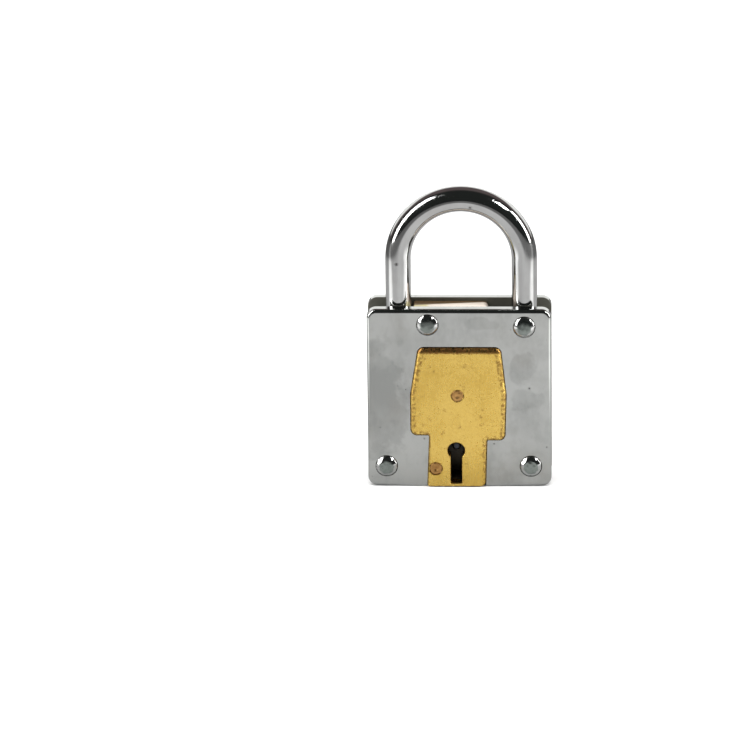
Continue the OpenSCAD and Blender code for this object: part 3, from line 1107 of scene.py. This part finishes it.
@dataclass
class Rivet:
    """A rivet through both plates with a hammered, bevelled head at each end.

    Attributes:
        node: the CAD node that gives its place.
        seed: number that sets where the hammer fell.
        shank: radius of the shank.
        flat: radius of the crowned top of a head.
        crown: radius to which the top is crowned.
        bevel: radius at which the bevel round the top ends and the steeper side begins.
        bevel_slope: slope of the bevel.
        rim: height of a head's rim.
        sink: how far the top's middle lies below the full height.
        blows: number of blows that cut the side.
        blow_depth: depth of the deepest blow.
        softness: how softly the surfaces run into each other.
        floor: least height of the head.
        rings: rings from the middle of a head to its rim.
        columns: points round the rivet.
    """

    node: str
    seed: int
    shank: float = 1.6
    flat: float = 1.75
    crown: float = 15.0
    bevel: float = 2.4
    bevel_slope: float = 0.62
    rim: float = 0.14
    sink: float = 0.13
    blows: int = 5
    blow_depth: float = 0.05
    softness: float = 0.04
    floor: float = 0.1
    rings: int = 34
    columns: int = 120

    def head(self, radius: float, height: float, rng: np.random.Generator) -> tuple[Array, Array, Array]:
        """Top of one head as a height over the plate.

        The height is the smooth least of a crowned, dented top, a bevel, a steeper side that falls to the
        rim, and some planes that cut the side where the hammer fell. The crown drops by the square of the
        distance over twice its radius.

        Args:
            radius: radius of the head.
            height: height of the head.
            rng: source of the blows' places.

        Returns:
            X, Z and height of the points, each of shape (rings, columns), from the middle outwards.
        """
        across = np.linspace(0, 1, self.rings)[:, None] ** 0.85 * (radius - 0.02)
        angle = np.linspace(0, 2 * math.pi, self.columns, endpoint=False)[None]
        x, z = across * np.cos(angle), across * np.sin(angle)
        middle = height - self.sink
        edge = middle - self.flat**2 / (2 * self.crown)
        slope = (edge - self.bevel_slope * (self.bevel - self.flat) - self.rim) / (radius - self.bevel)
        tilt = rng.uniform((-0.03, -0.085), (0.03, -0.055))
        waves = rng.uniform((2.0, 0, 0, 0.003), (5.5, math.pi, 6, 0.008), (7, 4))
        bumps = sum(
            depth * np.cos(rate * (x * math.cos(way) + z * math.sin(way)) + shift)
            for rate, way, shift, depth in waves
        )
        far = np.hypot(x, z)
        top = middle - far**2 / (2 * self.crown) + tilt[0] * x + tilt[1] * z + bumps
        bevel = edge + self.bevel_slope * (self.flat - far) + bumps
        cone = self.rim + slope * (radius - far) + 0.4 * bumps
        blows = rng.uniform(0, 2 * math.pi, self.blows) + np.arange(self.blows) * 1.3
        depths = rng.uniform(0.0, self.blow_depth, self.blows)
        slopes = slope * rng.uniform(0.85, 1.0, self.blows)
        planes = [
            self.rim - depth + steep * (radius - (x * math.cos(blow) + z * math.sin(blow)))
            for blow, depth, steep in zip(blows, depths, slopes)
        ]
        level = smooth_min(np.stack([top, bevel, cone, *planes]), self.softness)
        return x, z, np.clip(level, self.floor, height)

    def side(self, face: float, tip: float, centre: Array, rng: np.random.Generator) -> Array:
        """Rings of one head, from the middle of its top round its rim to the shank.

        Args:
            face: depth of the plate's outer face along Y.
            tip: depth of the head's top.
            centre: middle of the rivet.
            rng: source of the blows' places.

        Returns:
            Rings of shape (rings, columns, 3).
        """
        low, high = box_mm(self.node)
        radius = (high[0] - low[0]) / 2
        x, z, level = self.head(radius, abs(tip - face), rng)
        away = 1 if tip > face else -1
        angle = np.arctan2(z[-1], x[-1])
        wall = [(radius, level[-1] - 0.05), (radius, 0.06), (radius - 0.04, 0.0)]
        wall += [(self.shank + 0.03, 0.0), (self.shank, -0.05)]
        rings = [np.stack([x, level, z], -1)]
        for reach, up in wall:
            ups = np.broadcast_to(up, angle.shape)
            rings.append(np.stack([reach * np.cos(angle), ups, reach * np.sin(angle)], -1)[None])
        turned = np.concatenate(rings)
        turned[..., 1] = face + away * turned[..., 1]
        return turned + np.array([centre[0], 0.0, centre[2]])

    def build(self) -> Piece:
        """The whole rivet."""
        rng = np.random.default_rng(self.seed)
        low, high = box_mm(self.node)
        front_face, rear_face = box_mm("front_plate")[0][1], box_mm("rear_plate")[1][1]
        centre = centre_mm(self.node)
        front = self.side(front_face, low[1], centre, rng)
        rear = self.side(rear_face, high[1], centre, rng)
        shell = Shell()
        rings = np.concatenate([front, rear[::-1]])
        across = np.hypot(rings[..., 0] - centre[0], rings[..., 2] - centre[2])
        shell.band(rings, (high[0] - low[0]) / 2 - across)
        return dress(shell.build(f"{self.node}_hammered", "lock_body", self.node), "rivet_chrome")


@dataclass
class Peg:
    """The peened front end of a brass post, with its shank.

    Attributes:
        node: the CAD node that gives its place.
        crater: depth of the hollow in the middle of the end.
        groove: depth of the ring round the end.
        ragged: how far the end's rim strays from round.
        seed: number that sets how the rim strays.
        uneven: how far the end strays from flat.
        columns: points round the post.
    """

    node: str
    crater: float
    groove: float
    ragged: float
    seed: int
    uneven: float = 0.012
    columns: int = 96

    def build(self) -> Piece:
        """The post, from its dished end round a worn rim and back along its shank."""
        low, high = box_mm(self.node)
        centre = (low + high) / 2
        radius = (high[0] - low[0]) / 2
        rng = np.random.default_rng(self.seed)
        angle = np.linspace(0, 2 * math.pi, self.columns, endpoint=False)[None]
        across = np.linspace(0, 1, 26)[:, None]
        stray = sum(rng.uniform(0.2, 0.5) * np.sin(k * angle + rng.uniform(0, 6)) for k in (2, 3, 5, 7))
        reach = radius * (1 - self.ragged * (0.5 + 0.5 * np.clip(stray, -1, 1)) * across**2)
        dome = 0.04 * across**2 + self.groove * np.clip((across - 0.86) / 0.14, 0, 1) ** 2
        pit = np.exp(-((across / 0.34) ** 2))
        lip = np.exp(-(((across - 0.5) / 0.14) ** 2))
        dish = self.crater * (pit - 0.35 * lip)
        depth = low[1] + self.uneven + dome + dish + self.uneven * stray * across
        radii = reach * across
        out = np.concatenate([radii, np.full((3, self.columns), radius)])
        back = np.array([low[1] + 0.45, high[1] - 0.1, high[1] - 0.05])[:, None] * np.ones_like(angle)
        y = np.concatenate([np.maximum(depth, low[1]), back])
        rings = np.stack([centre[0] + out * np.cos(angle), y, centre[2] + out * np.sin(angle)], -1)
        end = rings[-1:].copy()
        end[..., [0, 2]] = centre[[0, 2]] + (end[..., [0, 2]] - centre[[0, 2]]) * 0.96
        end[..., 1] = high[1]
        shell = Shell()
        from_rim = np.broadcast_to((1 - across) * radius, radii.shape)
        rim = np.concatenate([from_rim, np.zeros((4, self.columns))])
        shell.band(np.concatenate([rings, end]), rim)
        shell.cap([end[0]], 0.25)
        return dress(shell.build(f"{self.node}_peened", "lock_body", self.node), "post_copper")


@dataclass
class KeyholePlate:
    """The brass plate in the window, with the keyhole.

    Attributes:
        window: the opening that it fills.
        gap: clearance to the opening.
        soft_edge: radius of the front edge.
        hole_edge: radius of the keyhole's edge.
        slot: width of the keyhole's slot.
        slot_foot: height of the slot's lower end.
        slot_corner: radius of the corners there.
        foot: height of the plate's lower edge.
        radius: radius of the keyhole's round part.
    """

    window: Window
    gap: float = 0.1
    soft_edge: float = 0.85
    hole_edge: float = 0.14
    slot: float = 3.1
    slot_foot: float = 1.1
    slot_corner: float = 0.2
    foot: float = 0.2
    radius: float = 2.4

    def keyhole(self) -> Array:
        """Loop of the keyhole: a circle as far as the slot's sides, then round the slot's lower end."""
        pin = centre_mm("drill_pin")
        half = self.slot / 2
        open_angle = math.asin(half / self.radius)
        angles = np.linspace(open_angle - math.pi / 2, 1.5 * math.pi - open_angle, 48)
        top = np.array([pin[0], pin[2]]) + self.radius * np.stack([np.cos(angles), np.sin(angles)], 1)
        left, right, low = pin[0] - half, pin[0] + half, self.slot_foot
        turn = np.linspace(0, math.pi / 2, 5)
        r = self.slot_corner
        left_foot = np.stack([left + r - r * np.cos(turn), low + r - r * np.sin(turn)], 1)
        right_foot = np.stack([right - r + r * np.sin(turn), low + r - r * np.cos(turn)], 1)
        step = np.array([0.0, HOLD])
        down = [top[-1] - step, left_foot[0] + step]
        up = [right_foot[-1] + step, top[0] - step]
        return np.concatenate([top, down, left_foot, right_foot, up])

    def build(self) -> Piece:
        """The plate, with holes for the keyhole and the two posts."""
        low, high = box_mm("escutcheon")
        radii = [0.5, 0.5, 1.8, 5.0, 1.8, 1.8, 5.0, 1.6, 0.5, 1.3]
        outline = rounded_outline(self.window.corners(self.gap, self.foot), radii, 16)
        x, z = outline.T
        foot, stem, crest = (self.foot + 0.2, self.foot + 1.5), (12.9, 13.2), (34.0, 38.5)
        reach = np.interp(z, (*foot, *stem, *crest), (0.3, 0.55, 0.55, 0.85, 0.95, 1.5))
        by_rivet = (x < 0) & (z < self.window.shoulder_left[1])
        reach = np.where(by_rivet, 0.25, reach)
        edge = np.minimum(np.full(len(outline), self.soft_edge), 1.6 * reach)
        holes = [(self.keyhole(), self.hole_edge, 0.05)]
        for node, room in (("centre_post", 0.25), ("escutcheon_rivet", 0.05)):
            place, size = centre_mm(node), box_mm(node)
            loop = circle((place[0], place[2]), (size[1][0] - size[0][0]) / 2 + 0.01, 56)
            holes.append((loop, 0.06, room))
        margins = (0.15, 0.35, 0.6)
        free = np.interp(z, (*foot, *crest), (0.1, 1.0, 1.0, 0.35))
        room = np.where(by_rivet, 0.05, free)
        slab = Slab(outline, high[1], low[1], edge, reach, holes=holes, margins=margins, room=room)
        return slab.build("keyhole_plate", "escutcheon", "escutcheon_brass")


@dataclass
class Shackle:
    """The bent rod, with the bolt's notch in its toe and the pivot's bore in its heel.

    Attributes:
        notch_depth: depth of the notch.
        notch_low: height of the notch's lower face above the toe's end.
        notch_high: height of its upper face above the toe's end.
        bevel: height of the bevel at both ends.
        heel: how far the heel goes below the pivot.
        bore: radius of the pivot's bore.
        bore_columns: points round the bore.
        drill: half the length of the cutter that makes the bore.
        columns: points round the rod.
    """

    notch_depth: float = 3.0
    notch_low: float = 4.6
    notch_high: float = 8.4
    bevel: float = 1.3
    heel: float = 4.5
    bore: float = 1.67
    bore_columns: int = 48
    drill: float = 5.0
    columns: int = 112

    def rod(self) -> Shell:
        """Surface of the rod.

        The centre line goes up the toe's leg, round half a circle and down the heel's leg. Round it each
        ring is offset by the radius times cosine and sine along the outward direction and along Y. In the
        notch the inward offset is cut off at the notch's floor.
        """
        low, high = box_mm("shackle")
        radius = (high[1] - low[1]) / 2
        toe_x, heel_x = low[0] + radius, high[0] - radius
        sweep = (heel_x - toe_x) / 2
        top = high[2] - radius - sweep
        pivot = centre_mm("rivet_shackle_pivot")
        toe_end, heel_end = low[2], pivot[2] - self.heel
        notch = np.array([toe_end + self.notch_low, toe_end + self.notch_high])
        bevel = np.array([0.0, 0.08, 0.7 * self.bevel, self.bevel, self.bevel + 0.3])
        stops = (notch[:, None] + np.array([-0.01, 0.0, 0.01])).reshape(-1)
        toe = np.concatenate([toe_end + bevel, stops, np.linspace(notch[1] + 1.0, top, 10)])
        arch = np.linspace(math.pi, 0, 90)[1:-1]
        heel = np.concatenate([np.linspace(top, heel_end + self.bevel + 1.0, 10), (heel_end + bevel)[::-1]])
        up, down = np.ones(len(toe)), np.ones(len(heel))
        middle = (toe_x + heel_x) / 2
        x = np.concatenate([toe_x * up, middle + sweep * np.cos(arch), heel_x * down])
        z = np.concatenate([toe, top + sweep * np.sin(arch), heel])
        out_x = np.concatenate([-up, np.cos(arch), down])
        out_z = np.concatenate([0 * up, np.sin(arch), 0 * down])
        shrink = np.array([self.bevel, self.bevel - 0.02, 0.3 * self.bevel, 0.04, 0.0])
        rod_radius = np.full(len(x), radius)
        rod_radius[: len(shrink)] -= shrink
        rod_radius[-len(shrink):] -= shrink[::-1]
        angle = np.linspace(0, 2 * math.pi, self.columns, endpoint=False)[None]
        reach = rod_radius[:, None] * np.cos(angle)
        floor = np.full(len(x), -2 * radius)
        in_notch = (np.arange(len(x)) < len(toe)) & (z >= notch[0]) & (z <= notch[1])
        floor[in_notch] = self.notch_depth - radius
        reach = np.maximum(reach, floor[:, None])
        across = x[:, None] + reach * out_x[:, None]
        height = z[:, None] + reach * out_z[:, None]
        rings = np.stack([across, rod_radius[:, None] * np.sin(angle), height], -1)
        shell = Shell()
        shell.band(rings)
        shell.cap([rings[0]])
        shell.cap([rings[-1]])
        return shell

    def build(self) -> Piece:
        """The rod with the pivot's bore cut through its heel."""
        piece = self.rod().build("shackle_rod", "shackle", "shackle")
        pivot = centre_mm("rivet_shackle_pivot")
        x, z = circle((pivot[0], pivot[2]), self.bore, self.bore_columns).T
        ends = [np.stack([x, np.full(len(x), y), z], 1) for y in (-self.drill, self.drill)]
        cutter = Shell()
        cutter.band(np.stack(ends))
        cutter.cap([ends[0]])
        cutter.cap([ends[1]])
        drill = add("bore_cutter", cutter.mesh("bore_cutter"))
        cut = piece.modifiers.new("Bore", "BOOLEAN")
        cut.object = drill
        cut.operation = "DIFFERENCE"
        cut.solver = "EXACT"
        bpy.context.view_layer.update()
        carved = bpy.data.meshes.new_from_object(piece.evaluated_get(bpy.context.evaluated_depsgraph_get()))
        piece.modifiers.clear()
        piece.data = carved
        bpy.data.objects.remove(drill)
        return dress(piece, "shackle_chrome")


@dataclass
class LockWorks:
    """The lock case and what is inside it, kept in the frame's shapes with softened edges.

    Attributes:
        parts: for each CAD node its bevel in millimetres and its material slot.
        springs: the levers that have a spring.
        spring_bevel: the springs' bevel in millimetres.
    """

    parts: dict[str, tuple[float, str]] = field(
        default_factory=lambda: {
            "case_body": (0.15, "case_brass"),
            "case_front": (0.1, "case_brass"),
            "bolt": (0.1, "bolt_steel"),
            "lever_rear": (0.06, "lever_brass"),
            "lever_middle": (0.06, "lever_brass"),
            "lever_front": (0.06, "lever_brass"),
            "drill_pin": (0.06, "pin_steel"),
            "lever_post": (0.06, "pin_steel"),
            "bolt_stump": (0.06, "pin_steel"),
            "spacer_tube_left": (0.08, "pin_steel"),
            "spacer_tube_right": (0.08, "pin_steel"),
        }
    )
    springs: tuple[str, ...] = ("rear", "middle", "front")
    spring_bevel: float = 0.03

    def spring(self, place: str) -> Piece:
        """A lever's leaf spring: its foot moves with the lever and its top end stays in the case.

        Args:
            place: which lever it presses on.

        Returns:
            The spring.
        """
        node = f"lever_spring_{place}"
        piece = dress(soften(node, self.spring_bevel), "spring_steel")
        low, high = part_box(node)
        foot, tip = (low[0], low[1], low[2]), (high[0], low[1], high[2])
        bpy.context.view_layer.update()
        piece.parent = None
        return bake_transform(piece, f"lever_{place}", "lock_body", foot, tip)

    def build(self) -> list[Piece]:
        """A softened copy of each part."""
        made = [dress(soften(node, width), slot) for node, (width, slot) in self.parts.items()]
        return made + [self.spring(place) for place in self.springs]


# ---------------------------------------------------------------- studio


@dataclass
class Studio:
    """Pale floor, soft light and the camera.

    Attributes:
        azimuth: the camera's turn to the right of straight ahead, in degrees.
        elevation: its height above the horizon, in degrees.
        roll: its turn about its own axis, in degrees.
        distance: its distance, in metres.
        frame_width: width of the picture at the lock, in metres.
        aim: what the picture's middle looks at, in metres.
        lamps_aim: what the lamps face, in metres.
        floor_half: half the floor's width, in metres.
        sky: strength of the surroundings.
    """

    azimuth: float = 2.5
    elevation: float = 20.0
    roll: float = 0.73
    distance: float = 1.8
    frame_width: float = 0.1988
    aim: Place = (-0.0258, 0.0, 0.0327)
    lamps_aim: Place = (0.0, 0.0, 0.04)
    floor_half: float = 3.0
    sky: float = 1.35

    def camera(self) -> None:
        """Long lens at the given angle, aimed to the left of the lock."""
        data = bpy.data.cameras.new("camera")
        data.sensor_width = 36.0
        data.lens = data.sensor_width * self.distance / self.frame_width
        data.clip_end = 50.0
        camera = add("camera", data)
        a, e = math.radians(self.azimuth), math.radians(self.elevation)
        back = Vector((math.sin(a) * math.cos(e), -math.cos(a) * math.cos(e), math.sin(e)))
        camera.location = Vector(self.aim) + self.distance * back
        turn = (-back).to_track_quat("-Z", "Y") @ Euler((0.0, 0.0, math.radians(-self.roll))).to_quaternion()
        camera.rotation_euler = turn.to_euler()
        bpy.context.scene.camera = camera

    def floor(self) -> None:
        """A large pale floor under the lock."""
        mesh = bpy.data.meshes.new("floor")
        half = self.floor_half
        corners = [(-half, -half, 0), (half, -half, 0), (half, half, 0), (-half, half, 0)]
        mesh.from_pydata(corners, [], [(0, 1, 2, 3)])
        floor = add("floor", mesh)
        material = bpy.data.materials.new("floor_paper")
        material.use_nodes = True
        graph = Graph(material.node_tree)
        shader = material.node_tree.nodes["Principled BSDF"]
        grain = graph.noise(900.0)
        paper = graph.blend(grain, (0.90, 0.90, 0.90), (0.87, 0.87, 0.87))
        x, y, _ = graph.axes()
        far = graph.node("ShaderNodeVectorMath", operation="LENGTH")
        graph.feed(far.inputs[0], graph.place())
        near = graph.span(far.outputs["Value"], 0.18, 0.27, 1.0, 0.28)
        front_to_back = graph.span(y, -0.03, 0.04, 0.52, 0.42)
        left_to_right = graph.span(x, -0.08, 0.03, 0.84, 1.0)
        tone = graph.times(front_to_back, left_to_right)
        beside = graph.span(graph.math("ABSOLUTE", x), 0.06, 0.12)
        strip = graph.times(graph.span(y, -0.12, -0.07), graph.fade(y, -0.03, 0.01))
        bright = graph.times(graph.times(beside, strip), 0.6)
        tone = graph.times(near, graph.plus(tone, bright))
        in_metal = graph.node("ShaderNodeLightPath").outputs["Is Glossy Ray"]
        mirrored = graph.node("ShaderNodeVectorMath", operation="SCALE")
        graph.feed(mirrored.inputs[0], paper)
        graph.feed(mirrored.inputs["Scale"], tone)
        graph.feed(shader.inputs["Base Color"], graph.blend(in_metal, paper, mirrored.outputs[0]))
        shader.inputs["Roughness"].default_value = 0.9
        shader.inputs["Specular IOR Level"].default_value = 0.1
        mesh.materials.append(material)

    def world(self) -> None:
        """Surroundings: a white screen low behind the lock, and a dark room elsewhere."""
        world = bpy.data.worlds.new("studio")
        world.use_nodes = True
        graph = Graph(world.node_tree)
        shade = world.node_tree.nodes["Background"]
        where = graph.node("ShaderNodeTexCoord")
        parts = graph.node("ShaderNodeSeparateXYZ")
        graph.feed(parts.inputs[0], where.outputs["Generated"])
        behind = graph.span(parts.outputs["Y"], 0.4, 0.6)
        low = graph.fade(parts.outputs["Z"], 0.42, 0.56)
        backwards = graph.span(parts.outputs["Y"], 0.0, 0.4)
        room = graph.blend(backwards, (0.019, 0.021, 0.020), (0.12, 0.095, 0.096))
        level = graph.times(behind, low)
        seen = graph.node("ShaderNodeLightPath").outputs["Is Camera Ray"]
        lit = graph.blend(level, room, (1.0, 1.0, 0.985))
        graph.feed(shade.inputs["Color"], graph.blend(seen, lit, (0.74, 0.74, 0.74)))
        shade.inputs["Strength"].default_value = self.sky
        bpy.context.scene.world = world

    def lamp(
        self, name: str, place: Place, size: tuple[float, float], watts: float, mirrored: bool = True
    ) -> None:
        """A soft box that faces the lock and isn't seen itself.

        Args:
            name: the lamp's name.
            place: where it stands, in metres.
            size: its width and height, in metres.
            watts: its power.
            mirrored: whether it shows in the metal.
        """
        data = bpy.data.lights.new(name, "AREA")
        data.shape = "RECTANGLE"
        data.size, data.size_y = size
        data.energy = watts
        lamp = add(name, data)
        lamp.location = place
        towards = Vector(self.lamps_aim) - Vector(place)
        lamp.rotation_euler = towards.to_track_quat("-Z", "Y").to_euler()
        lamp.visible_camera = False
        lamp.visible_glossy = mirrored

    def build(self) -> None:
        """Camera, floor, sky and lamps."""
        self.camera()
        self.floor()
        self.world()
        self.lamp("box_left", (-1.1, -0.42, 0.67), (0.42, 1.56), 15.6)
        self.lamp("box_right", (1.2, -0.14, 0.42), (0.30, 0.8), 7.0)
        self.lamp("box_right_high", (0.86, -0.42, 0.92), (0.34, 0.3), 4.0)
        self.lamp("box_top", (0.0, -0.1, 1.6), (1.8, 1.8), 40.0, False)
        bpy.context.scene.view_settings.view_transform = "Standard"


def main() -> None:
    """Build and dress the lock's sub-assemblies, and light them."""
    logging.basicConfig(level=logging.INFO, format="%(name)s: %(message)s")
    Studio().build()
    window = Window()
    pieces = Plates(window).build()
    pieces += [Rivet(node, 11 + number).build() for number, node in enumerate(RIVETS)]
    pieces.append(KeyholePlate(window).build())
    pieces.append(Peg("centre_post", 0.12, 0.22, 0.05, 3).build())
    pieces.append(Peg("escutcheon_rivet", 0.34, 0.30, 0.13, 8).build())
    pieces.append(Shackle().build())
    pieces += LockWorks().build()
    LOG.info("%d pieces in all", len(pieces))


if __name__ == "__main__":
    main()
